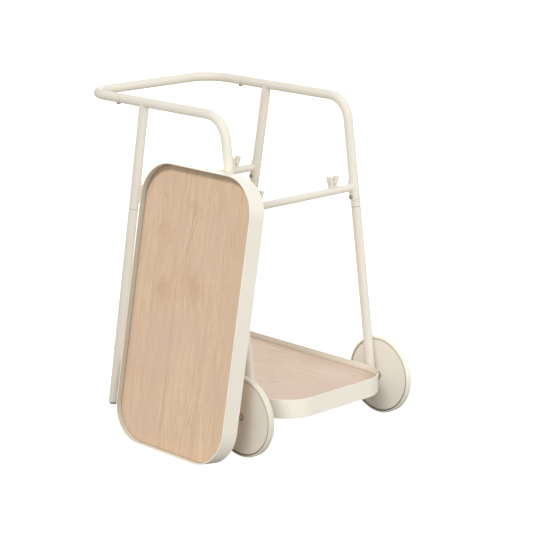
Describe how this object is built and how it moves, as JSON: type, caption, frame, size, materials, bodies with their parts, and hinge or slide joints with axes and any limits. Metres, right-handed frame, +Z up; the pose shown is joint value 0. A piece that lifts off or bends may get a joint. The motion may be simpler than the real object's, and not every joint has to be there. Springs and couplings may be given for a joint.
{
  "type": "garden serving cart",
  "caption": "Tube-framed garden serving cart on two wheels and two feet, with a fixed lower tray and a lift-off top tray leaning against its side.",
  "frame": {"origin": "on the floor, under the middle of the whole part's box, with the top tray leaning", "axes": "+X from the push handle towards the wheels, +Y to the left of the person who pushes, +Z up"},
  "size_m": [0.7537, 0.6764, 0.8625],
  "materials": {
    "cream_powder_coat": "fine matt powder coat",
    "top_tray_wood": "oiled light wood, grain along the tray",
    "lower_tray_wood": "oiled light wood, grain along the tray",
    "cream_wheel": "smooth moulded plastic",
    "cream_tyre": "soft moulded tread",
    "grey_glide": "moulded plastic",
    "cream_spacer": "moulded plastic",
    "white_bush": "slippery moulded plastic",
    "screw_steel": "dull dark-plated steel",
    "zinc_steel": "zinc plated"
  },
  "bodies": {
    "cart_frame": {"handle_loop": "cream_powder_coat", "left_side_rail": "cream_powder_coat", "left_upper_push_leg": "cream_powder_coat", "left_lower_push_leg": "cream_powder_coat", "left_lower_wheel_leg": "cream_powder_coat", "left_handle_sleeve": "zinc_steel", "left_push_leg_sleeve": "zinc_steel", "left_wheel_leg_sleeve": "zinc_steel", "left_push_leg_spacer": "cream_spacer", "left_wheel_leg_spacer": "cream_spacer", "left_hub_spacer": "zinc_steel", "left_foot_glide": "grey_glide", "left_leg_end_plug": "grey_glide", "left_axle_bolt": "zinc_steel", "left_front_clip": "cream_powder_coat", "left_front_saddle": "cream_powder_coat", "left_rear_clip": "cream_powder_coat", "left_rear_saddle": "cream_powder_coat", "right_side_rail": "cream_powder_coat", "right_upper_push_leg": "cream_powder_coat", "right_lower_push_leg": "cream_powder_coat", "right_lower_wheel_leg": "cream_powder_coat", "right_handle_sleeve": "zinc_steel", "right_push_leg_sleeve": "zinc_steel", "right_wheel_leg_sleeve": "zinc_steel", "right_push_leg_spacer": "cream_spacer", "right_wheel_leg_spacer": "cream_spacer", "right_hub_spacer": "zinc_steel", "right_foot_glide": "grey_glide", "right_leg_end_plug": "grey_glide", "right_axle_bolt": "zinc_steel", "right_front_clip": "cream_powder_coat", "right_front_saddle": "cream_powder_coat", "right_rear_clip": "cream_powder_coat", "right_rear_saddle": "cream_powder_coat", "front_crossbar": "cream_powder_coat", "rear_crossbar": "cream_powder_coat", "lower_tray_rim": "cream_powder_coat", "lower_tray_panel": "lower_tray_wood", "clip_screws": "screw_steel", "handle_screws": "screw_steel", "leg_joint_screws": "screw_steel", "lower_tray_bolts": "screw_steel", "axle_nuts": "zinc_steel", "axle_washers": "zinc_steel", "lower_tray_panel_screws": "zinc_steel"},
    "left_wheel": {"left_wheel_disc": "cream_wheel", "left_tyre": "cream_tyre", "left_wheel_bush": "white_bush"},
    "right_wheel": {"right_wheel_disc": "cream_wheel", "right_tyre": "cream_tyre", "right_wheel_bush": "white_bush"},
    "top_tray": {"top_tray_rim": "cream_powder_coat", "top_tray_panel": "top_tray_wood", "top_tray_panel_screws": "zinc_steel", "top_tray_left_rod": "cream_powder_coat", "top_tray_right_rod": "cream_powder_coat"}
  },
  "joints": [
    {"name": "left_wheel_spin", "type": "hinge", "parent": "cart_frame", "child": "left_wheel", "pos_m": [0.27137, 0.32386, 0.1055], "axis": [0, 1, 0], "continuous": true},
    {"name": "right_wheel_spin", "type": "hinge", "parent": "cart_frame", "child": "right_wheel", "pos_m": [0.27137, -0.19014, 0.1055], "axis": [0, 1, 0], "continuous": true},
    {"name": "top_tray_lift", "type": "slide", "parent": "cart_frame", "child": "top_tray", "axis": [0, 0, 1], "range_m": [0, 0.3]}
  ]
}
